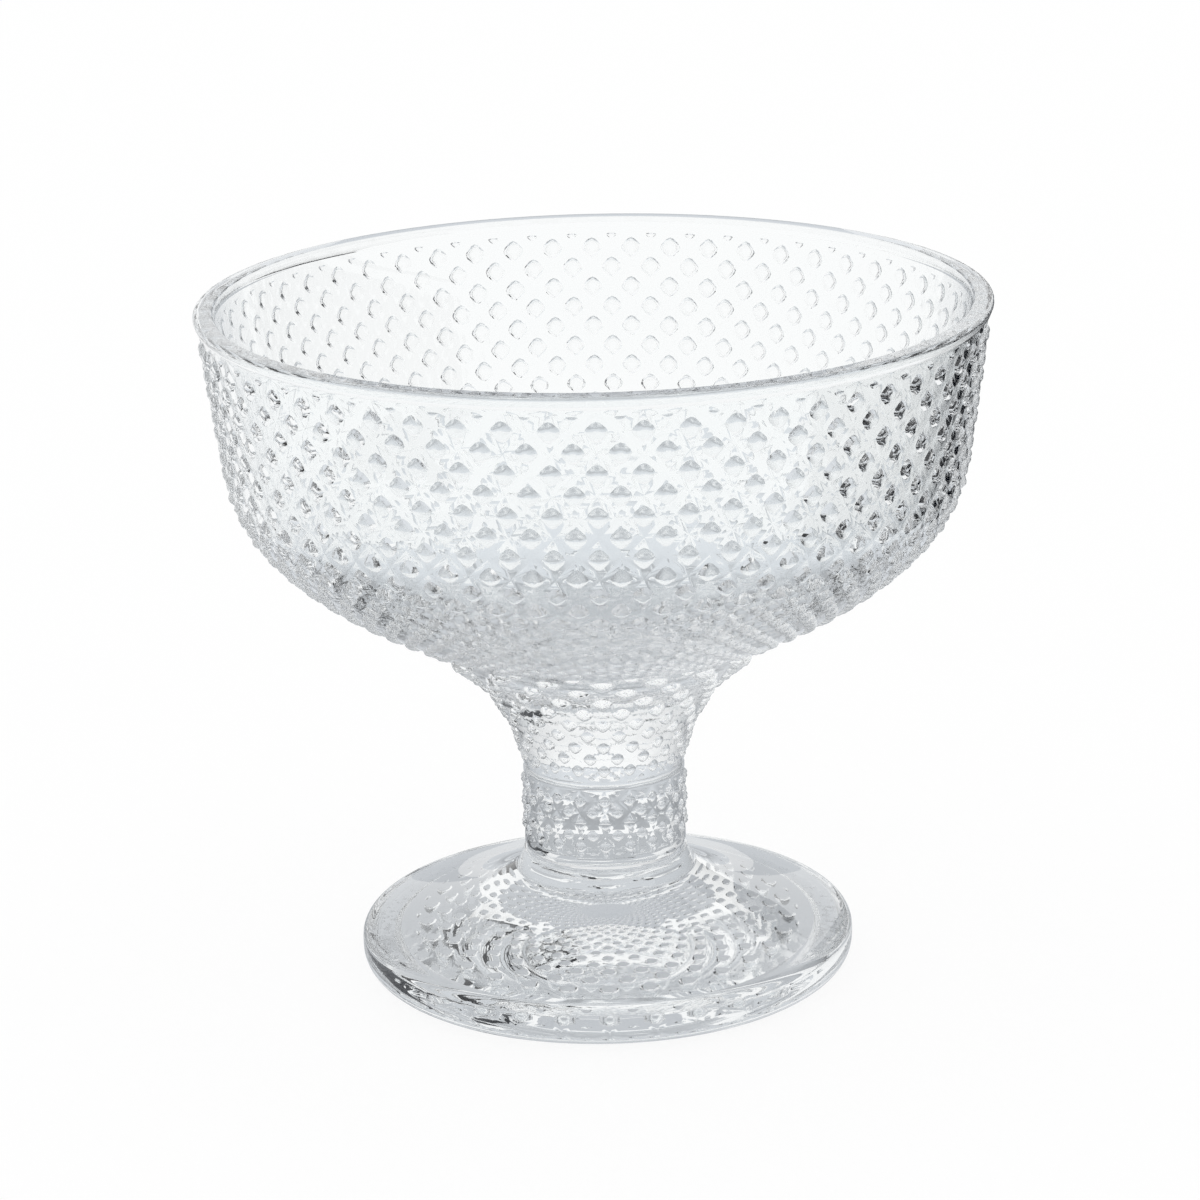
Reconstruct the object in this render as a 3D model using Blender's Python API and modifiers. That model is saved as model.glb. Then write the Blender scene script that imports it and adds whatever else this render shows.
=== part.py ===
"""Footed dessert bowl of clear pressed glass: a bowl, a short stem and a round foot, joined hot."""

import math

import bmesh
import bpy

# Whole height, in metres; the wall of the bowl takes what the lower pieces leave
HEIGHT = 0.1068

# Bowl
RIM_RADIUS = 0.0603
WALL = 0.0032
LIP_ROUND = 0.0006
RIM_BAND = 0.0016
BELLY_RADIUS = 0.0560
BELLY_RISE = 0.0235
BELLY_ROUND = 0.0112
SHOULDER_RADIUS = 0.0312
SHOULDER_SLOPE = math.radians(26)
SHOULDER_ROUND = 0.0060
NECK_RISE = 0.0238
NECK_SWEEP = 0.0172
NECK_ROUND = 0.0030
BASE_DEPTH = 0.0222
FLOOR_ROUND = 0.0250
INSIDE_ROUND = 0.0100

# Stem, which also sets the neck of the bowl and the collar of the foot
STEM_RADIUS = 0.0126
STEM_LENGTH = 0.0133

# Foot
FOOT_RADIUS = 0.0386
FOOT_EDGE = 0.0072
EDGE_TOP_ROUND = 0.0021
EDGE_LOW_ROUND = 0.0038
FOOT_RISE = 0.0189
COLLAR_STEP = 0.0003
COLLAR_BAND = 0.0028
COLLAR_FLARE = 0.0009
FLARE_SLOPE = math.radians(45)
FLARE_ROUND = 0.0040
TOP_ROUND = 0.0140
TOP_SLOPE = math.radians(8)
REST_RING = 0.0020
RECESS_CHAMFER = 0.0010
RECESS_DEPTH = 0.0014
RECESS_CROWN = 0.0016
RECESS_CENTRE = 0.0056

# Joints between the glass pieces
WELD_GAP = 0.0003
WELD_ROUND = 0.0004
WELD_BAND = 0.0004
FOOT_BAND = 0.0013

# Relief: raised lozenges in a diagonal lattice, each as high as this share of its half width
RELIEF_STEEPNESS = 0.34
RELIEF_SINK = 0.0010
WALL_COUNT = 56
NECK_COUNT = 20
STEM_COUNT = 20
UNDERSIDE_COUNT = 28
ZONE_RIB = 0.0014

# Fineness of the turned surfaces
CURVE_STEPS = 12
ROUND_STEPS = 4
TRACE_STEPS = 240

GLASS_COLOUR = (0.93, 0.96, 0.97, 1.0)
GLASS_ROUGHNESS = 0.02
GLASS_IOR = 1.5
SHARP_ANGLE = math.radians(28)
LATTICE = "lattice"


def bezier(start, handle_out, handle_in, end, steps):
    """Points (radius, height) along a cubic curve, both ends included."""
    points = []
    for step in range(steps + 1):
        t = step / steps
        weights = ((1 - t) ** 3, 3 * t * (1 - t) ** 2, 3 * t * t * (1 - t), t ** 3)
        corners = (start, handle_out, handle_in, end)
        points.append(tuple(sum(w * c[axis] for w, c in zip(weights, corners)) for axis in (0, 1)))
    return points


def arc(centre, radius, first, last, steps):
    """Points (radius, height) along a circular arc between two angles, both ends included."""
    points = []
    for step in range(steps + 1):
        angle = first + (last - first) * step / steps
        points.append((centre[0] + radius * math.cos(angle), centre[1] + radius * math.sin(angle)))
    return points


def toward(point, angle, distance):
    """The point at a distance from another, along an angle from the outward radius."""
    return (point[0] + distance * math.cos(angle), point[1] + distance * math.sin(angle))


def lattice_rows(curve, count):
    """Rows along a curve, spaced so that the lozenges of a ring of this count stay as tall as wide."""
    reach = [0.0]
    for a, b in zip(curve, curve[1:]):
        width = math.pi * (a[0] + b[0]) / count
        reach.append(reach[-1] + math.dist(a, b) / width)
    rows = max(1, round(reach[-1]))
    points = []
    index = 0
    for row in range(rows + 1):
        wanted = reach[-1] * row / rows
        while index < len(curve) - 2 and reach[index + 1] < wanted:
            index += 1
        t = (wanted - reach[index]) / (reach[index + 1] - reach[index])
        a, b = curve[index], curve[index + 1]
        points.append((a[0] + t * (b[0] - a[0]), a[1] + t * (b[1] - a[1])))
    return points


def turned(sections, count):
    """A surface of revolution about Z. Each section is (points, is lattice); shared ends are given once."""
    mesh = bpy.data.meshes.new("profile")
    points = [p for section, _ in sections for p in section]
    marks = [int(is_lattice) for section, is_lattice in sections for _ in section]
    mesh.from_pydata([(r, 0.0, z) for r, z in points], [(i, i + 1) for i in range(len(points) - 1)], [])
    mesh.attributes.new(LATTICE, "INT", "POINT").data.foreach_set("value", marks)
    profile = bpy.data.objects.new("profile", mesh)
    bpy.context.scene.collection.objects.link(profile)
    screw = profile.modifiers.new("turn", "SCREW")
    screw.steps = count
    screw.render_steps = count
    screw.use_merge_vertices = True
    screw.merge_threshold = 0.000001
    evaluated = profile.evaluated_get(bpy.context.evaluated_depsgraph_get())
    surface = bpy.data.meshes.new_from_object(evaluated)
    bpy.data.objects.remove(profile)
    bpy.data.meshes.remove(mesh)
    return surface


def raise_lattice(bm):
    """Turn the marked grid into a diagonal lattice of lozenges, each raised to a point."""
    mark = bm.verts.layers.int[LATTICE]
    grid = {f for f in bm.faces if all(v[mark] for v in f.verts)}
    inner_edges = [e for e in bm.edges if len(e.link_faces) == 2 and grid.issuperset(e.link_faces)]
    centres = set(bmesh.ops.poke(bm, faces=list(grid))["verts"])
    bmesh.ops.dissolve_edges(bm, edges=inner_edges, use_verts=False)
    lozenges = [f for f in bm.faces if len(centres.intersection(f.verts)) == 2]
    bmesh.ops.poke(bm, faces=lozenges, offset=RELIEF_STEEPNESS, use_relative_offset=True)


def shell(sections, count):
    """A turned surface with its lattice raised, as a bmesh."""
    surface = turned(sections, count)
    bm = bmesh.new()
    bm.from_mesh(surface)
    bpy.data.meshes.remove(surface)
    bm.normal_update()
    raise_lattice(bm)
    return bm


def add_to(bm, other):
    """Add the geometry of another bmesh to this one."""
    mesh = bpy.data.meshes.new("joined")
    other.to_mesh(mesh)
    other.free()
    bm.from_mesh(mesh)
    bpy.data.meshes.remove(mesh)


def close_ring(bm, height):
    """Close the open ring at a height with one flat face."""
    near = WELD_ROUND / 4
    open_edges = [e for e in bm.edges if e.is_boundary]
    ring = [e for e in open_edges if all(abs(v.co.z - height) < near for v in e.verts)]
    bmesh.ops.edgeloop_fill(bm, edges=ring)


def bridge_open_rings(bm):
    """Join the two open rings that are left, whose counts may differ."""
    bmesh.ops.bridge_loops(bm, edges=[e for e in bm.edges if e.is_boundary])


def glass(name):
    material = bpy.data.materials.new(name)
    material.use_nodes = True
    surface = material.node_tree.nodes["Principled BSDF"]
    surface.inputs["Base Color"].default_value = GLASS_COLOUR
    surface.inputs["Roughness"].default_value = GLASS_ROUGHNESS
    surface.inputs["Metallic"].default_value = 0.0
    surface.inputs["IOR"].default_value = GLASS_IOR
    surface.inputs["Transmission Weight"].default_value = 1.0
    return material


def finish(name, bm, base, parent, collection):
    """Make the named object of a closed bmesh and stand it at its base height."""
    bmesh.ops.recalc_face_normals(bm, faces=bm.faces)
    mesh = bpy.data.meshes.new(name)
    bm.to_mesh(mesh)
    bm.free()
    mesh.attributes.remove(mesh.attributes[LATTICE])
    mesh.shade_smooth()
    mesh.set_sharp_from_angle(angle=SHARP_ANGLE)
    mesh.materials.append(glass(name + "_glass"))
    piece = bpy.data.objects.new(name, mesh)
    piece.location.z = base
    piece.parent = parent
    collection.objects.link(piece)
    return piece


def bowl_profiles(top):
    """The inside with the lip, the outer wall and the neck, from the bowl's own base to its top."""
    shoulder_height = NECK_RISE
    belly_height = shoulder_height + BELLY_RISE

    wall_top = (RIM_RADIUS - RELIEF_SINK, top - LIP_ROUND - RIM_BAND)
    belly = (BELLY_RADIUS, belly_height)
    shoulder = (SHOULDER_RADIUS, shoulder_height)
    wall_angle = math.atan2(belly[1] - wall_top[1], belly[0] - wall_top[0])
    shoulder_angle = math.pi + SHOULDER_SLOPE

    inside_belly = (BELLY_RADIUS - WALL, belly_height)
    inside = bezier((0.0, BASE_DEPTH), (FLOOR_ROUND, BASE_DEPTH),
                    toward(inside_belly, wall_angle, INSIDE_ROUND), inside_belly, CURVE_STEPS)
    lip_curve = arc((RIM_RADIUS - WALL + LIP_ROUND, top - LIP_ROUND), LIP_ROUND, math.pi, math.pi / 2, ROUND_STEPS)
    lip_curve += arc((RIM_RADIUS - LIP_ROUND, top - LIP_ROUND), LIP_ROUND, math.pi / 2, 0.0, ROUND_STEPS)
    band = [(RIM_RADIUS, wall_top[1] + RELIEF_SINK)]

    wall = [wall_top]
    wall += bezier(belly, toward(belly, wall_angle, BELLY_ROUND),
                   toward(shoulder, shoulder_angle + math.pi, SHOULDER_ROUND), shoulder, TRACE_STEPS)
    weld_side = (STEM_RADIUS, WELD_ROUND + WELD_BAND)
    neck = bezier(shoulder, toward(shoulder, shoulder_angle, NECK_SWEEP),
                  (STEM_RADIUS, weld_side[1] + NECK_ROUND), weld_side, TRACE_STEPS)
    weld = [(STEM_RADIUS, WELD_ROUND), (STEM_RADIUS - WELD_ROUND, 0.0)]
    return inside + lip_curve + band, wall, neck, weld


def make_bowl(base, parent, collection):
    inside, wall, neck, weld = bowl_profiles(HEIGHT - base)
    below_rib = [p for p in neck if p[0] <= SHOULDER_RADIUS - ZONE_RIB]
    bm = shell([(inside, False), (lattice_rows(wall, WALL_COUNT), True)], WALL_COUNT)
    add_to(bm, shell([(lattice_rows(below_rib, NECK_COUNT), True), (weld, False)], NECK_COUNT))
    close_ring(bm, 0.0)
    bridge_open_rings(bm)
    return finish("bowl", bm, base, parent, collection)


def make_stem(base, parent, collection):
    side = [(STEM_RADIUS, STEM_LENGTH - WELD_ROUND - WELD_BAND), (STEM_RADIUS, WELD_ROUND + FOOT_BAND)]
    top_weld = [(STEM_RADIUS - WELD_ROUND, STEM_LENGTH), (STEM_RADIUS, STEM_LENGTH - WELD_ROUND)]
    low_weld = [(STEM_RADIUS, WELD_ROUND), (STEM_RADIUS - WELD_ROUND, 0.0)]
    bm = shell([(top_weld, False), (lattice_rows(side, STEM_COUNT), True), (low_weld, False)], STEM_COUNT)
    close_ring(bm, STEM_LENGTH)
    close_ring(bm, 0.0)
    return finish("stem", bm, base, parent, collection)


def foot_profiles():
    """The outside down to the resting ring, and the recessed underside."""
    collar = STEM_RADIUS + COLLAR_STEP
    edge_centre = (FOOT_RADIUS - EDGE_TOP_ROUND, FOOT_EDGE - EDGE_TOP_ROUND)
    edge_start = toward(edge_centre, math.pi / 2 - TOP_SLOPE, EDGE_TOP_ROUND)
    collar_foot = (collar + COLLAR_FLARE, FOOT_RISE - COLLAR_BAND)
    outside = [(collar - WELD_ROUND, FOOT_RISE), (collar, FOOT_RISE - WELD_ROUND)]
    outside += bezier(collar_foot, toward(collar_foot, -FLARE_SLOPE, FLARE_ROUND),
                      toward(edge_start, math.pi - TOP_SLOPE, TOP_ROUND), edge_start, CURVE_STEPS)
    outside += arc(edge_centre, EDGE_TOP_ROUND, math.pi / 2 - TOP_SLOPE, 0.0, ROUND_STEPS)[1:]
    low_centre = (FOOT_RADIUS - EDGE_LOW_ROUND, EDGE_LOW_ROUND)
    outside += arc(low_centre, EDGE_LOW_ROUND, 0.0, -math.pi / 2, ROUND_STEPS)
    ring_inner = low_centre[0] - REST_RING
    outside += [(ring_inner, 0.0), (ring_inner - RECESS_CHAMFER, RECESS_DEPTH)]
    recess_edge = (ring_inner - RECESS_CHAMFER - ZONE_RIB, RECESS_DEPTH)
    recess_centre = (RECESS_CENTRE, RECESS_DEPTH + RECESS_CROWN)
    return outside, [recess_edge, recess_centre]


def make_foot(base, parent, collection):
    outside, underside = foot_profiles()
    bm = shell([(outside, False)], WALL_COUNT)
    close_ring(bm, FOOT_RISE)
    centre = [(0.0, underside[-1][1])]
    fine = bezier(underside[0], underside[0], underside[1], underside[1], TRACE_STEPS)
    add_to(bm, shell([(lattice_rows(fine, UNDERSIDE_COUNT), True), (centre, False)], UNDERSIDE_COUNT))
    bridge_open_rings(bm)
    return finish("foot", bm, base, parent, collection)


def main():
    for old in list(bpy.data.objects):
        bpy.data.objects.remove(old)
    collection = bpy.data.collections.new("footed_dessert_bowl")
    bpy.context.scene.collection.children.link(collection)
    origin = bpy.data.objects.new("table_centre", None)
    collection.objects.link(origin)

    stem_base = FOOT_RISE + WELD_GAP
    bowl_base = stem_base + STEM_LENGTH + WELD_GAP
    make_foot(0.0, origin, collection)
    make_stem(stem_base, origin, collection)
    make_bowl(bowl_base, origin, collection)


main()
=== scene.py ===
import math

import bmesh
import bpy
from mathutils import Matrix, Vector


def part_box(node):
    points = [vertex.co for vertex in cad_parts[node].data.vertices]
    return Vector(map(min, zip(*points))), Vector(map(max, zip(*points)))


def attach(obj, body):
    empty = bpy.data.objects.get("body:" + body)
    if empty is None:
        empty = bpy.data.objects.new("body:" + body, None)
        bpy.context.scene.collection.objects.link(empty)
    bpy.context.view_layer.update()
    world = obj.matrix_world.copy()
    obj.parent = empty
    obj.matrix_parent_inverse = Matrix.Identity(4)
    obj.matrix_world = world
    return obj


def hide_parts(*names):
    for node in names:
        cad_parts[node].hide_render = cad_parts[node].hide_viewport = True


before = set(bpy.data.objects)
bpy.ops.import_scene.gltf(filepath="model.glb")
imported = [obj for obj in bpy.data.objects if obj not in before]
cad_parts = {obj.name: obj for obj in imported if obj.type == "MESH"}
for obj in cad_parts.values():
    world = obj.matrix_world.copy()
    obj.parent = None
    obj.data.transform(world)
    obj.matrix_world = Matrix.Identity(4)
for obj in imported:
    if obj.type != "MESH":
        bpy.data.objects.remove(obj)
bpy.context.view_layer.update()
bowlLow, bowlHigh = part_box("bowl")
stemLow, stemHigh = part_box("stem")
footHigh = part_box("foot")[1]
print("frame loaded:", sorted(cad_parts))

# the glass runs on through each joint, so the pieces meet halfway across the gap
upperJoint = (stemHigh.z + bowlLow.z) / 2
lowerJoint = (footHigh.z + stemLow.z) / 2
jointFilm = 0.00001
mergeDistance = 0.000002
seedSize = 0.001          # of the plane that a profile is drawn from
fineSteps = 240           # along a curve, before rows are set out on it
glassSlot, jointSlot = 0, 1


# camera
camera = {
    "distance": 0.6096,   # in front of the axis
    "height": 0.2496,     # above the table
    "pitch": 17.375,      # degrees down
    "roll": -1.345,       # the photograph is a little crooked
    "lens": 124.16,       # mm, on a sensor 36 mm wide
    "sensor": 36.0,
}


def addCamera():
    data = bpy.data.cameras.new("camera")
    data.lens = camera["lens"]
    data.sensor_width = camera["sensor"]
    eye = bpy.data.objects.new("camera", data)
    bpy.context.scene.collection.objects.link(eye)
    tilt = Matrix.Rotation(math.radians(90 - camera["pitch"]), 4, "X")
    roll = Matrix.Rotation(math.radians(camera["roll"]), 4, "Z")
    place = Matrix.Translation((0, -camera["distance"], camera["height"]))
    eye.matrix_world = place @ tilt @ roll
    bpy.context.scene.camera = eye
    print("camera placed")


# points of a profile, each as radius and height
def linePoints(start, end, steps):
    return [(start[0] + (end[0] - start[0]) * step / steps,
             start[1] + (end[1] - start[1]) * step / steps) for step in range(steps + 1)]


def curvePoints(start, handleOut, handleIn, end, steps):
    points = []
    for step in range(steps + 1):
        t = step / steps
        weights = ((1 - t) ** 3, 3 * t * (1 - t) ** 2, 3 * t * t * (1 - t), t ** 3)
        corners = (start, handleOut, handleIn, end)
        points.append(tuple(sum(w * c[k] for w, c in zip(weights, corners)) for k in (0, 1)))
    return points


def arcPoints(centre, radius, first, last, steps):
    angles = [first + (last - first) * step / steps for step in range(steps + 1)]
    return [(centre[0] + radius * math.cos(a), centre[1] + radius * math.sin(a)) for a in angles]


def towards(point, angle, distance):
    return (point[0] + distance * math.cos(angle), point[1] + distance * math.sin(angle))


def latticeRows(curve, around):
    # rows along a curve, set so that the lozenges stay as tall as they are wide
    reach = [0.0]
    for a, b in zip(curve, curve[1:]):
        reach.append(reach[-1] + math.dist(a, b) * around / (math.pi * (a[0] + b[0])))
    rows = max(1, round(reach[-1]))
    points = []
    index = 0
    for row in range(rows + 1):
        wanted = reach[-1] * row / rows
        while index < len(curve) - 2 and reach[index + 1] < wanted:
            index += 1
        t = (wanted - reach[index]) / (reach[index + 1] - reach[index])
        a, b = curve[index], curve[index + 1]
        points.append((a[0] + t * (b[0] - a[0]), a[1] + t * (b[1] - a[1])))
    return points


# turning and selecting
def deselectAll():
    bpy.ops.object.select_all(action="DESELECT")


def editOnly(piece):
    deselectAll()
    piece.select_set(True)
    bpy.context.view_layer.objects.active = piece
    bpy.ops.object.mode_set(mode="EDIT")


def endEdit():
    bpy.ops.object.mode_set(mode="OBJECT")


def spunShell(name, points, steps):
    # one point is drawn on along the profile, and the line is spun round the axis
    deselectAll()
    bpy.ops.mesh.primitive_plane_add(size=seedSize)
    piece = bpy.context.object
    piece.name = name
    editOnly(piece)
    bpy.ops.mesh.select_mode(type="VERT")
    bpy.ops.mesh.select_all(action="SELECT")
    bpy.ops.mesh.merge(type="CENTER")
    bpy.ops.transform.translate(value=(points[0][0], 0, points[0][1]))
    for a, b in zip(points, points[1:]):
        move = {"value": (b[0] - a[0], 0, b[1] - a[1])}
        bpy.ops.mesh.extrude_vertices_move(TRANSFORM_OT_translate=move)
    bpy.ops.mesh.select_all(action="SELECT")
    bpy.ops.mesh.spin(steps=steps, angle=2 * math.pi, center=(0, 0, 0), axis=(0, 0, 1))
    bpy.ops.mesh.select_all(action="SELECT")
    bpy.ops.mesh.remove_doubles(threshold=mergeDistance)
    bpy.ops.mesh.flip_normals()   # drawn in this order, the profiles spin inside out
    endEdit()
    return piece


def joinPieces(main, others):
    deselectAll()
    for piece in others + [main]:
        piece.select_set(True)
    bpy.context.view_layer.objects.active = main
    bpy.ops.object.join()


def selectParts(piece, kind, wanted):
    bpy.ops.mesh.select_all(action="DESELECT")
    bpy.ops.mesh.select_mode(type=kind)
    bm = bmesh.from_edit_mesh(piece.data)
    for part in bm.faces if kind == "FACE" else bm.edges:
        part.select = bool(wanted(part))
    bm.select_flush_mode()
    bmesh.update_edit_mesh(piece.data)


def selectFaces(piece, wanted):
    selectParts(piece, "FACE", wanted)


def selectEdges(piece, wanted):
    selectParts(piece, "EDGE", wanted)


# the relief: rounded lozenges in a diagonal lattice, with narrow plain channels between them
relief = {
    "channel": 0.19,      # of the lozenge's side, on each side of the channel's middle
    "rings": (            # width and rise of each step up the pillow, of the lozenge's side
        (0.046, 0.074),
        (0.072, 0.062),
        (0.092, 0.040),
    ),
    "cornerCut": 30,      # percent of a side that each rounded corner takes
    "cornerSteps": 2,
    "borderShare": 0.38,  # the half lozenges along a zone's border, against whole ones
    "sizeStep": 0.0001,   # lozenges alike to this are raised together
    "smoothAngle": 35,
}


def ridgeEdges(crown, rings):
    # the corner edges that run down from a crown, ring by ring
    ridges = []
    for corner in crown.verts:
        point = corner
        edge = next(e for e in corner.link_edges if e not in crown.edges)
        for ring in range(rings):
            ridges.append(edge)
            point = edge.other_vert(point)
            near = set(edge.link_faces)
            edge = next(e for e in point.link_edges if not near.intersection(e.link_faces))
    return ridges


def raiseLozenges(piece, inZone):
    # the zone's grid faces are poked and their old edges dissolved, which leaves lozenges
    editOnly(piece)
    selectFaces(piece, lambda face: inZone(face.calc_center_median()))
    bm = bmesh.from_edit_mesh(piece.data)
    gridPoints = len(bm.verts)
    bpy.ops.mesh.poke()
    bm = bmesh.from_edit_mesh(piece.data)
    bm.verts.index_update()
    poked = {face for face in bm.faces if any(v.index >= gridPoints for v in face.verts)}

    def oldEdge(edge):
        return (all(v.index < gridPoints for v in edge.verts) and len(edge.link_faces) == 2
                and poked.issuperset(edge.link_faces))

    selectEdges(piece, oldEdge)
    bpy.ops.mesh.dissolve_edges(use_verts=False)
    bm = bmesh.from_edit_mesh(piece.data)
    bm.verts.index_update()
    groups = {}
    for face in bm.faces:
        corners, centres = len(face.verts), sum(v.index >= gridPoints for v in face.verts)
        if (corners, centres) in ((4, 2), (3, 1)):   # whole lozenges and half ones
            whole = corners == 4
            side = math.sqrt(face.calc_area() * (1 if whole else 2))
            key = (round(side / relief["sizeStep"]), 1 if whole else relief["borderShare"])
            groups.setdefault(key, []).append(face.calc_center_median().freeze())
    for (size, share), centres in groups.items():
        side = size * relief["sizeStep"]
        wanted = set(centres)
        selectFaces(piece, lambda face: face.calc_center_median().freeze() in wanted)
        bpy.ops.mesh.inset(use_individual=True, thickness=relief["channel"] * side, depth=0)
        for width, rise in relief["rings"]:
            bpy.ops.mesh.inset(use_individual=True, thickness=share * width * side,
                               depth=share * rise * side)
        bm = bmesh.from_edit_mesh(piece.data)
        crowns = [face for face in bm.faces if face.select]
        ridges = {edge for crown in crowns for edge in ridgeEdges(crown, len(relief["rings"]))}
        selectEdges(piece, lambda edge: edge in ridges)
        bpy.ops.mesh.bevel(offset_type="PERCENT", offset_pct=relief["cornerCut"],
                           segments=relief["cornerSteps"], affect="EDGES")
    endEdit()
    print(piece.name, "lozenges:", sum(len(c) for c in groups.values()), "in sizes:", len(groups))


# closing and finishing a piece
def openEdge(edge):
    return len(edge.link_faces) == 1


def bridgeOpenRings(piece, inPlace):
    def wanted(edge):
        return openEdge(edge) and inPlace((edge.verts[0].co + edge.verts[1].co) / 2)

    editOnly(piece)
    selectEdges(piece, wanted)
    bpy.ops.mesh.bridge_edge_loops()
    endEdit()


def fillRing(piece, wanted, slot):
    editOnly(piece)
    selectEdges(piece, wanted)
    bpy.ops.mesh.edge_face_add()
    piece.active_material_index = slot
    bpy.ops.object.material_slot_assign()
    endEdit()


def closeJoint(piece, height):
    # the hidden end of the piece, in the joint's own clear material
    def wanted(edge):
        return openEdge(edge) and all(abs(v.co.z - height) < jointFilm for v in edge.verts)

    fillRing(piece, wanted, jointSlot)


def finishGlass(piece, node):
    editOnly(piece)
    bpy.ops.mesh.select_all(action="SELECT")
    bpy.ops.mesh.remove_doubles(threshold=mergeDistance)
    bpy.ops.mesh.normals_make_consistent(inside=False)
    endEdit()
    bpy.ops.object.shade_smooth_by_angle(angle=math.radians(relief["smoothAngle"]))
    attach(piece, "root")
    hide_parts(node)
    edges = {}
    for face in piece.data.polygons:
        for key in face.edge_keys:
            edges[key] = edges.get(key, 0) + 1
    loose = sum(1 for count in edges.values() if count != 2)
    triangles = sum(len(face.vertices) - 2 for face in piece.data.polygons)
    print(piece.name, "triangles:", triangles, "open edges:", loose)


# nodes
mixPorts = {"FLOAT": (0, 2, 3, 0), "RGBA": (0, 6, 7, 2)}   # factor, first, second, result


def addNode(nodes, kind, values):
    node = nodes.new(kind)
    for socket, value in values.items():
        node.inputs[socket].default_value = value
    return node


def mathNode(nodes, links, operation, first, second):
    # the first is a socket, and the second a socket or a plain number
    node = nodes.new("ShaderNodeMath")
    node.operation = operation
    links.new(first, node.inputs[0])
    if isinstance(second, bpy.types.NodeSocket):
        links.new(second, node.inputs[1])
    else:
        node.inputs[1].default_value = second
    return node.outputs[0]


def mixNode(nodes, links, kind, factor, first, second):
    # the factor is a socket, and the others are sockets or plain values
    node = nodes.new("ShaderNodeMix")
    node.data_type = kind
    *ports, result = mixPorts[kind]
    for port, value in zip(ports, (factor, first, second)):
        if isinstance(value, bpy.types.NodeSocket):
            links.new(value, node.inputs[port])
        else:
            node.inputs[port].default_value = value
    return node.outputs[result]


def mixShaders(nodes, links, factor, first, second):
    mix = nodes.new("ShaderNodeMixShader")
    links.new(factor, mix.inputs["Fac"])
    links.new(first, mix.inputs[1])
    links.new(second, mix.inputs[2])
    return mix.outputs["Shader"]


# glass
glass = {
    "ior": 1.5,
    # painted shade: the glass is darkened towards its edges in the base colour, more where it is
    # solid
    "paintedEdgeShadeColour": (0.66, 0.69, 0.72, 1.0),
    "paintedEdgeShadeTo": 1.0,               # facing, from 0 face on to 1 at the very edge
    "solidPaintedEdgeShadeColour": (0.06, 0.07, 0.09, 1.0),
    "solidPaintedEdgeShadeFrom": 0.24,
    "rippleDetail": 1.0,
    "hazeDetail": 4.0,
    "hazeFrom": 0.45,            # of the noise that makes the haze
    "hazeTo": 0.75,
    "gritFrom": 0.40,            # of the noise that makes the wear
    "gritTo": 0.65,
    "surface": {                 # what the node group is given, by socket
        "Ripple Scale": 70.0,
        "Ripple Height": 0.00006,
        "Haze Scale": 45.0,
        "Haze Low": 0.0,
        "Haze High": 0.03,
        "Scuff Height": 0.0006,  # wear where the foot stands
        "Scuff Scale": 900.0,
        "Scuff Roughness": 0.35,
        "Solid Low": 0.042,      # below this the bowl is solid glass
        "Solid High": 0.054,
        "Tint Scale": 16.0,
        "Colour": (0.972, 0.983, 0.982, 1.0),
        "Cool Colour": (0.948, 0.966, 0.972, 1.0),
    },
}


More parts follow.
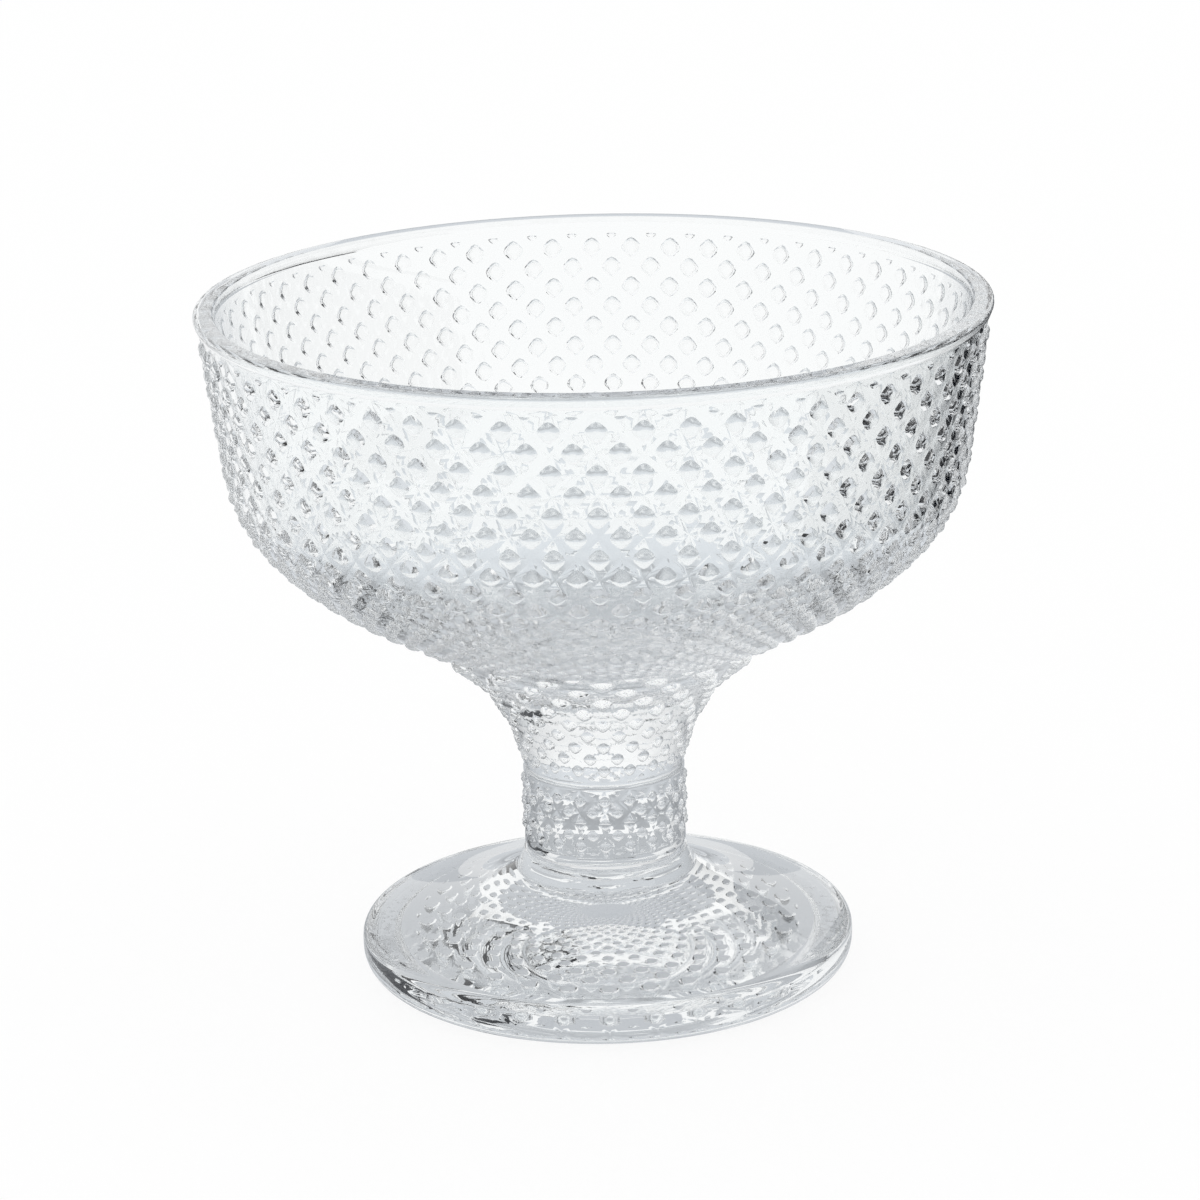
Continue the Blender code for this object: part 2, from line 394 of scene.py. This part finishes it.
def surfaceGroup():
    group = bpy.data.node_groups.new("pressedSurface", "ShaderNodeTree")
    for name, value in glass["surface"].items():
        kind = "NodeSocketColor" if isinstance(value, tuple) else "NodeSocketFloat"
        group.interface.new_socket(name, in_out="INPUT", socket_type=kind)
    group.interface.new_socket("Solid Share", in_out="INPUT", socket_type="NodeSocketFloat")
    group.interface.new_socket("Colour", in_out="OUTPUT", socket_type="NodeSocketColor")
    group.interface.new_socket("Solid", in_out="OUTPUT", socket_type="NodeSocketFloat")
    group.interface.new_socket("Roughness", in_out="OUTPUT", socket_type="NodeSocketFloat")
    group.interface.new_socket("Normal", in_out="OUTPUT", socket_type="NodeSocketVector")
    nodes, links = group.nodes, group.links
    given = nodes.new("NodeGroupInput").outputs
    result = nodes.new("NodeGroupOutput").inputs
    place = nodes.new("ShaderNodeTexCoord").outputs["Object"]

    # ripples left by the mould
    ripple = addNode(nodes, "ShaderNodeTexNoise", {"Detail": glass["rippleDetail"]})
    bump = nodes.new("ShaderNodeBump")
    links.new(place, ripple.inputs["Vector"])
    links.new(given["Ripple Scale"], ripple.inputs["Scale"])
    links.new(given["Ripple Height"], bump.inputs["Distance"])
    links.new(ripple.outputs["Fac"], bump.inputs["Height"])
    links.new(bump.outputs["Normal"], result["Normal"])

    # patches of faint haze
    haze = addNode(nodes, "ShaderNodeTexNoise", {"Detail": glass["hazeDetail"]})
    hazeRange = addNode(nodes, "ShaderNodeMapRange",
                        {"From Min": glass["hazeFrom"], "From Max": glass["hazeTo"]})
    links.new(place, haze.inputs["Vector"])
    links.new(given["Haze Scale"], haze.inputs["Scale"])
    links.new(haze.outputs["Fac"], hazeRange.inputs["Value"])
    links.new(given["Haze Low"], hazeRange.inputs["To Min"])
    links.new(given["Haze High"], hazeRange.inputs["To Max"])

    # fine scratches low on the foot, where it stands
    height = nodes.new("ShaderNodeSeparateXYZ")
    low = addNode(nodes, "ShaderNodeMapRange", {"To Min": 1.0, "To Max": 0.0})
    grit = nodes.new("ShaderNodeTexNoise")
    gritRange = addNode(nodes, "ShaderNodeMapRange",
                        {"From Min": glass["gritFrom"], "From Max": glass["gritTo"]})
    links.new(place, height.inputs["Vector"])
    links.new(height.outputs["Z"], low.inputs["Value"])
    links.new(given["Scuff Height"], low.inputs["From Max"])
    links.new(place, grit.inputs["Vector"])
    links.new(given["Scuff Scale"], grit.inputs["Scale"])
    links.new(grit.outputs["Fac"], gritRange.inputs["Value"])
    links.new(given["Scuff Roughness"], gritRange.inputs["To Max"])
    worn = mathNode(nodes, links, "MULTIPLY", low.outputs["Result"], gritRange.outputs["Result"])
    rough = mathNode(nodes, links, "MAXIMUM", hazeRange.outputs["Result"], worn)
    links.new(rough, result["Roughness"])

    # a mask for where the glass is solid, in which the painted shade at the edges starts sooner and
    # is darker than on a thin wall
    solid = addNode(nodes, "ShaderNodeMapRange", {"To Max": 0.0})
    links.new(height.outputs["Z"], solid.inputs["Value"])
    links.new(given["Solid Low"], solid.inputs["From Min"])
    links.new(given["Solid High"], solid.inputs["From Max"])
    links.new(given["Solid Share"], solid.inputs["To Min"])
    links.new(solid.outputs["Result"], result["Solid"])

    # faint cool cords in the glass
    cord = nodes.new("ShaderNodeTexNoise")
    links.new(place, cord.inputs["Vector"])
    links.new(given["Tint Scale"], cord.inputs["Scale"])
    tint = mixNode(nodes, links, "RGBA", cord.outputs["Fac"], given["Colour"], given["Cool Colour"])
    links.new(tint, result["Colour"])
    return group


def glassMaterial(name, group, paintedEdgeShadeFrom, solidShare):
    material = bpy.data.materials.new(name)
    material.use_nodes = True
    nodes, links = material.node_tree.nodes, material.node_tree.links
    surface = nodes["Principled BSDF"]
    surface.inputs["Metallic"].default_value = 0.0
    surface.inputs["IOR"].default_value = glass["ior"]
    surface.inputs["Transmission Weight"].default_value = 1.0
    detail = nodes.new("ShaderNodeGroup")
    detail.node_tree = group
    for socket, value in glass["surface"].items():
        detail.inputs[socket].default_value = value
    detail.inputs["Solid Share"].default_value = solidShare

    # painted shade: edges seen at a steep angle are darkened in the base colour
    solid = detail.outputs["Solid"]
    facing = nodes.new("ShaderNodeLayerWeight")
    start = mixNode(nodes, links, "FLOAT", solid, paintedEdgeShadeFrom, glass["solidPaintedEdgeShadeFrom"])
    paintedEdgeShade = mixNode(nodes, links, "RGBA", solid, glass["paintedEdgeShadeColour"], glass["solidPaintedEdgeShadeColour"])
    edge = addNode(nodes, "ShaderNodeMapRange", {"From Max": glass["paintedEdgeShadeTo"]})
    links.new(facing.outputs["Facing"], edge.inputs["Value"])
    links.new(start, edge.inputs["From Min"])
    colour = mixNode(nodes, links, "RGBA", edge.outputs["Result"], detail.outputs["Colour"], paintedEdgeShade)
    links.new(colour, surface.inputs["Base Color"])
    links.new(detail.outputs["Roughness"], surface.inputs["Roughness"])
    links.new(detail.outputs["Normal"], surface.inputs["Normal"])

    # the glass throws no hard shadow
    lightPath = nodes.new("ShaderNodeLightPath")
    clear = nodes.new("ShaderNodeBsdfTransparent")
    shader = mixShaders(nodes, links, lightPath.outputs["Is Shadow Ray"],
                        surface.outputs["BSDF"], clear.outputs["BSDF"])
    links.new(shader, nodes["Material Output"].inputs["Surface"])
    return material


def jointMaterial():
    # inside a joint the glass is one, so its end faces don't show
    material = bpy.data.materials.new("fusedJoint")
    material.use_nodes = True
    surface = material.node_tree.nodes["Principled BSDF"]
    surface.inputs["Alpha"].default_value = 0.0
    surface.inputs["IOR"].default_value = 1.0
    return material


def addMaterials(piece, material, joint):
    piece.data.materials.clear()
    piece.data.materials.append(material)
    piece.data.materials.append(joint)


# bowl
bowl = {
    "wall": 0.0032,
    "lipRound": 0.0006,
    "lipSteps": 6,
    "rimBand": 0.0016,
    "bandTop": 0.0014,       # above the top of the relief
    "bandLow": 0.0006,
    "bandIn": 0.0003,
    "sink": 0.0010,          # ground of the relief below the lip
    "bellyRise": 0.0235,
    "bellyRadius": 0.0560,
    "bellyRound": 0.0112,
    "shoulderRadius": 0.0312,
    "shoulderSlope": 26,
    "shoulderRound": 0.0060,
    "neckRise": 0.0238,
    "neckSweep": 0.0172,
    "neckRound": 0.0030,
    "baseDepth": 0.0222,
    "floorRound": 0.0250,
    "insideRound": 0.0100,
    "insideSteps": 28,
    "riseSteps": 8,
    "zoneRib": 0.0014,
    "wallAround": 56,
    "neckAround": 20,
    "smoothAround": 112,
    "paintedEdgeShadeFrom": 0.66,
    "solidShare": 1.0,
}
weld = {
    "radius": 0.0126,
    "round": 0.0004,
    "roundStart": 0.0001,
    "footBand": 0.0013,
    "seam": 0.00015,
    "seamBand": 0.00045,
}


def makeBowl(material, joint):
    base = bowlLow.z
    rim = bowlHigh.z
    rimRadius = bowlHigh.x
    lip = bowl["lipRound"]
    shoulder = (bowl["shoulderRadius"], base + bowl["neckRise"])
    belly = (bowl["bellyRadius"], shoulder[1] + bowl["bellyRise"])
    wallTop = (rimRadius - bowl["sink"], rim - lip - bowl["rimBand"])
    wallAngle = math.atan2(belly[1] - wallTop[1], belly[0] - wallTop[0])
    slope = math.radians(bowl["shoulderSlope"])

    floor = base + bowl["baseDepth"]
    insideBelly = (bowl["bellyRadius"] - bowl["wall"], belly[1])
    insideTop = (rimRadius - bowl["wall"], rim - lip)
    inside = curvePoints((0, floor), (bowl["floorRound"], floor),
                         towards(insideBelly, wallAngle, bowl["insideRound"]), insideBelly,
                         bowl["insideSteps"])
    inside += linePoints(insideBelly, insideTop, bowl["riseSteps"])[1:-1]
    inside += arcPoints((insideTop[0] + lip, insideTop[1]), lip, math.pi, math.pi / 2,
                        bowl["lipSteps"])
    inside += arcPoints((rimRadius - lip, insideTop[1]), lip, math.pi / 2, 0, bowl["lipSteps"])
    band = [(rimRadius, wallTop[1] + bowl["bandTop"]),
            (rimRadius - bowl["bandIn"], wallTop[1] + bowl["bandLow"])]
    smooth = spunShell("bowlGlass", inside + band, bowl["smoothAround"])

    wall = [wallTop] + curvePoints(belly, towards(belly, wallAngle, bowl["bellyRound"]),
                                   towards(shoulder, slope, bowl["shoulderRound"]), shoulder,
                                   fineSteps)
    outer = spunShell("bowlWall", latticeRows(wall, bowl["wallAround"]), bowl["wallAround"])

    weldSide = (weld["radius"], base + weld["seamBand"])
    neck = curvePoints(shoulder, towards(shoulder, slope, -bowl["neckSweep"]),
                       (weldSide[0], weldSide[1] + bowl["neckRound"]), weldSide, fineSteps)
    neck = [p for p in neck if p[0] <= bowl["shoulderRadius"] - bowl["zoneRib"]]
    end = [(weld["radius"], base + weld["seam"]),
           (weld["radius"] - weld["seam"], upperJoint + jointFilm)]
    neckRows = latticeRows(neck, bowl["neckAround"]) + end
    lower = spunShell("bowlNeck", neckRows, bowl["neckAround"])

    for shell in (smooth, outer, lower):
        addMaterials(shell, material, joint)
    raiseLozenges(outer, lambda centre: True)
    raiseLozenges(lower, lambda centre: centre.z > weldSide[1] - mergeDistance)
    joinPieces(smooth, [outer, lower])
    middle = (shoulder[1] + wallTop[1]) / 2
    neckMiddle = shoulder[1] - bowl["neckRise"] / 2
    bridgeOpenRings(smooth, lambda centre: centre.z > middle)
    bridgeOpenRings(smooth, lambda centre: neckMiddle < centre.z < middle)
    closeJoint(smooth, upperJoint + jointFilm)
    finishGlass(smooth, "bowl")


# stem
stem = {
    "around": 20,
    "paintedEdgeShadeFrom": 0.50,
    "solidShare": 1.0,
}


def makeStem(material, joint):
    radius, edge = weld["radius"], weld["round"]
    top, low = stemHigh.z - weld["seamBand"], stemLow.z + edge + weld["footBand"]
    upper = [(radius - weld["seam"], upperJoint - jointFilm), (radius, stemHigh.z - weld["seam"])]
    lower = [(radius, stemLow.z + edge), (radius - edge, lowerJoint + jointFilm)]
    side = latticeRows([(radius, top), (radius, low)], stem["around"])
    piece = spunShell("stemGlass", upper + side + lower, stem["around"])
    addMaterials(piece, material, joint)
    raiseLozenges(piece, lambda centre: low < centre.z < top)
    closeJoint(piece, upperJoint - jointFilm)
    closeJoint(piece, lowerJoint + jointFilm)
    finishGlass(piece, "stem")


# foot
foot = {
    "radius": 0.0386,
    "edge": 0.0072,
    "edgeTopRound": 0.0021,
    "edgeLowRound": 0.0038,
    "edgeSteps": 10,
    "collarStep": 0.0003,
    "collarBand": 0.0028,
    "collarFlare": 0.0009,
    "flareSlope": 45,
    "flareRound": 0.0040,
    "topRound": 0.0140,
    "topSlope": 8,
    "topSteps": 24,
    "restRing": 0.0020,
    "recessChamfer": 0.0010,
    "recessDepth": 0.0014,
    "recessCrown": 0.0016,
    "recessCentre": 0.0030,
    "zoneRib": 0.0014,
    "smoothAround": 112,
    "undersideAround": 28,
    "paintedEdgeShadeFrom": 0.88,
    "solidShare": 0.0,
}


def makeFoot(material, joint):
    collar = weld["radius"] + foot["collarStep"]
    rise = footHigh.z
    topRound, lowRound = foot["edgeTopRound"], foot["edgeLowRound"]
    edgeCentre = (foot["radius"] - topRound, foot["edge"] - topRound)
    slope = math.radians(foot["topSlope"])
    flare = -math.radians(foot["flareSlope"])
    edgeStart = towards(edgeCentre, math.pi / 2 - slope, topRound)
    collarFoot = (collar + foot["collarFlare"], rise - foot["collarBand"])
    outside = [(weld["radius"] - weld["round"], lowerJoint - jointFilm),
               (weld["radius"], rise - weld["roundStart"]), (collar, rise - weld["round"])]
    outside += curvePoints(collarFoot, towards(collarFoot, flare, foot["flareRound"]),
                           towards(edgeStart, math.pi - slope, foot["topRound"]), edgeStart,
                           foot["topSteps"])
    outside += arcPoints(edgeCentre, topRound, math.pi / 2 - slope, 0, foot["edgeSteps"])[1:]
    outside += arcPoints((foot["radius"] - lowRound, lowRound), lowRound, 0, -math.pi / 2,
                         foot["edgeSteps"])
    ringInner = foot["radius"] - lowRound - foot["restRing"]
    recessOuter = ringInner - foot["recessChamfer"]
    outside += [(ringInner, 0), (recessOuter, foot["recessDepth"])]
    piece = spunShell("footGlass", outside, foot["smoothAround"])

    recessEdge = (recessOuter - foot["zoneRib"], foot["recessDepth"])
    recessCentre = (foot["recessCentre"], foot["recessDepth"] + foot["recessCrown"])
    underRows = latticeRows(linePoints(recessEdge, recessCentre, fineSteps),
                            foot["undersideAround"])
    under = spunShell("footUnderside", underRows, foot["undersideAround"])
    for shell in (piece, under):
        addMaterials(shell, material, joint)
    raiseLozenges(under, lambda centre: True)
    joinPieces(piece, [under])
    middle = (recessEdge[0] + recessCentre[0]) / 2
    bridgeOpenRings(piece, lambda centre: centre.z < rise / 2 and centre.xy.length > middle)
    closeJoint(piece, lowerJoint - jointFilm)
    fillRing(piece, openEdge, glassSlot)
    finishGlass(piece, "foot")


# studio
studio = {
    "floorSize": 8.0,
    "floorDrop": 0.0003,
    "floorColour": (0.97, 0.97, 0.97, 1.0),
    "floorRoughness": 0.9,
    "floorGlow": 0.9,       # share of plain white in what the camera and the glass see
    "tableRadius": 0.165,
    "tableSides": 96,
    # a glowing card seen only in the glass: the grey stands for the table top, and the dark ring at
    # a third to two fifths of the radius is a painted shadow of the bowl
    "tableAndShadowStops": (         # share of the radius, level
        (0.00, 0.50),
        (0.19, 0.54),
        (0.25, 0.68),
        (0.33, 0.56),
        (0.42, 0.40),
        (0.54, 0.68),
        (0.66, 0.76),
        (1.00, 0.82),
    ),
    "tableTint": (0.95, 0.985, 1.03),
    "flagDistance": 0.145,
    "flagSides": 360,
    "flags": (              # around is degrees round from behind the bowl, and width degrees too
        {"name": "flagSide", "around": 76, "width": 100, "low": 0.012, "high": 0.108,
         "mostSurfaces": 3, "colour": (0.002, 0.003, 0.006)},
        {"name": "flagHigh", "around": 76, "width": 92, "low": 0.165, "high": 0.300,
         "mostSurfaces": 3, "colour": (0.002, 0.003, 0.006)},
        {"name": "flagBack", "around": 0, "width": 38, "low": 0.015, "high": 0.300,
         "mostSurfaces": 9, "colour": (0.55, 0.57, 0.60)},
    ),
    "bounces": 24,
    "glossyBounces": 12,
}


def glowMaterial(name, colour):
    material = bpy.data.materials.new(name)
    material.use_nodes = True
    nodes, links = material.node_tree.nodes, material.node_tree.links
    nodes.remove(nodes["Principled BSDF"])
    glow = addNode(nodes, "ShaderNodeEmission", {"Color": (*colour, 1.0)})
    links.new(glow.outputs["Emission"], nodes["Material Output"].inputs["Surface"])
    return material


def floorMaterial():
    material = bpy.data.materials.new("floorWhite")
    material.use_nodes = True
    nodes, links = material.node_tree.nodes, material.node_tree.links
    surface = nodes["Principled BSDF"]
    surface.inputs["Base Color"].default_value = studio["floorColour"]
    surface.inputs["Roughness"].default_value = studio["floorRoughness"]
    glow = nodes.new("ShaderNodeEmission")
    clear = nodes.new("ShaderNodeBsdfTransparent")
    side = nodes.new("ShaderNodeNewGeometry")
    seen = nodes.new("ShaderNodeLightPath").outputs

    # the camera and the glass see mostly plain white
    mirrored = mathNode(nodes, links, "MAXIMUM", seen["Is Camera Ray"], seen["Is Glossy Ray"])
    backdrop = mathNode(nodes, links, "MAXIMUM", mirrored, seen["Is Transmission Ray"])
    share = mathNode(nodes, links, "MULTIPLY", backdrop, studio["floorGlow"])
    white = mixShaders(nodes, links, share, surface.outputs["BSDF"], glow.outputs["Emission"])

    # seen from below, the floor is clear
    below = mathNode(nodes, links, "MULTIPLY", side.outputs["Backfacing"], seen["Is Camera Ray"])
    shader = mixShaders(nodes, links, below, white, clear.outputs["BSDF"])
    links.new(shader, nodes["Material Output"].inputs["Surface"])
    return material


def makeFloor():
    deselectAll()
    bpy.ops.mesh.primitive_plane_add(size=studio["floorSize"],
                                     location=(0, 0, -studio["floorDrop"]))
    floor = bpy.context.object
    floor.name = "floor"
    floor.data.materials.append(floorMaterial())


def onlyInGlass(card):
    card.visible_camera = False
    card.visible_diffuse = False
    card.visible_shadow = False


def tableMaterial():
    # a grey table top, in rings round the foot; the dark ring under the bowl's belly is a painted
    # shadow of the bowl
    material = glowMaterial("tableGreyAndShadow", (1, 1, 1))
    nodes, links = material.node_tree.nodes, material.node_tree.links
    place = nodes.new("ShaderNodeTexCoord")
    length = nodes.new("ShaderNodeVectorMath")
    length.operation = "LENGTH"
    links.new(place.outputs["Object"], length.inputs[0])
    share = mathNode(nodes, links, "DIVIDE", length.outputs["Value"], studio["tableRadius"])
    ramp = nodes.new("ShaderNodeValToRGB")
    stops = ramp.color_ramp.elements
    while len(stops) < len(studio["tableAndShadowStops"]):
        stops.new(0.5)
    for stop, (position, level) in zip(stops, studio["tableAndShadowStops"]):
        stop.position = position
        stop.color = (*(level * tint for tint in studio["tableTint"]), 1)
    links.new(share, ramp.inputs["Fac"])
    links.new(ramp.outputs["Color"], nodes["Emission"].inputs["Color"])
    return material


def makeTableCard():
    deselectAll()
    bpy.ops.mesh.primitive_circle_add(vertices=studio["tableSides"], radius=studio["tableRadius"],
                                      fill_type="NGON", location=(0, 0, -studio["floorDrop"] / 2))
    card = bpy.context.object
    card.name = "tableCard"
    card.data.materials.append(tableMaterial())
    onlyInGlass(card)


def flagMaterial(name, mostSurfaces, colour):
    # light that has bounced in the glass sees the flag, and what is seen straight through doesn't
    material = glowMaterial(name, colour)
    nodes, links = material.node_tree.nodes, material.node_tree.links
    seen = nodes.new("ShaderNodeLightPath").outputs
    clear = nodes.new("ShaderNodeBsdfTransparent")
    half = 0.5   # the depths are whole numbers, so each limit lies between two of them
    bounced = mathNode(nodes, links, "GREATER_THAN", seen["Glossy Depth"], half)
    direct = mathNode(nodes, links, "LESS_THAN", seen["Transmission Depth"], mostSurfaces + half)
    both = mathNode(nodes, links, "MULTIPLY", bounced, direct)
    shader = mixShaders(nodes, links, both, clear.outputs["BSDF"],
                        nodes["Emission"].outputs["Emission"])
    links.new(shader, nodes["Material Output"].inputs["Surface"])
    return material


def makeFlag(name, around, width, low, high, mostSurfaces, colour):
    def outside(face):
        centre = face.calc_center_median()
        turn = math.degrees(math.atan2(centre.x, centre.y))
        return abs((turn - around + 180) % 360 - 180) > width / 2

    deselectAll()
    bpy.ops.mesh.primitive_cylinder_add(vertices=studio["flagSides"],
                                        radius=studio["flagDistance"], depth=high - low,
                                        end_fill_type="NOTHING",
                                        location=(0, 0, (low + high) / 2))
    flag = bpy.context.object
    flag.name = name
    editOnly(flag)
    selectFaces(flag, outside)
    bpy.ops.mesh.delete(type="FACE")
    endEdit()
    flag.data.materials.append(flagMaterial(name + "Colour", mostSurfaces, colour))
    onlyInGlass(flag)


def makeLight():
    scene = bpy.context.scene
    world = bpy.data.worlds.new("studio")
    scene.world = world
    world.use_nodes = True
    back = world.node_tree.nodes["Background"]
    back.inputs["Color"].default_value = (1, 1, 1, 1)
    back.inputs["Strength"].default_value = 1.0
    scene.view_settings.view_transform = "Standard"
    scene.cycles.max_bounces = studio["bounces"]
    scene.cycles.transmission_bounces = studio["bounces"]
    scene.cycles.glossy_bounces = studio["glossyBounces"]
    scene.cycles.transparent_max_bounces = studio["bounces"]
    print("studio lit")


addCamera()
makeFloor()
makeTableCard()
for flag in studio["flags"]:
    makeFlag(**flag)
makeLight()
pressed = surfaceGroup()
joint = jointMaterial()
makeBowl(glassMaterial("bowlClear", pressed, bowl["paintedEdgeShadeFrom"], bowl["solidShare"]), joint)
makeStem(glassMaterial("stemClear", pressed, stem["paintedEdgeShadeFrom"], stem["solidShare"]), joint)
makeFoot(glassMaterial("footClear", pressed, foot["paintedEdgeShadeFrom"], foot["solidShare"]), joint)
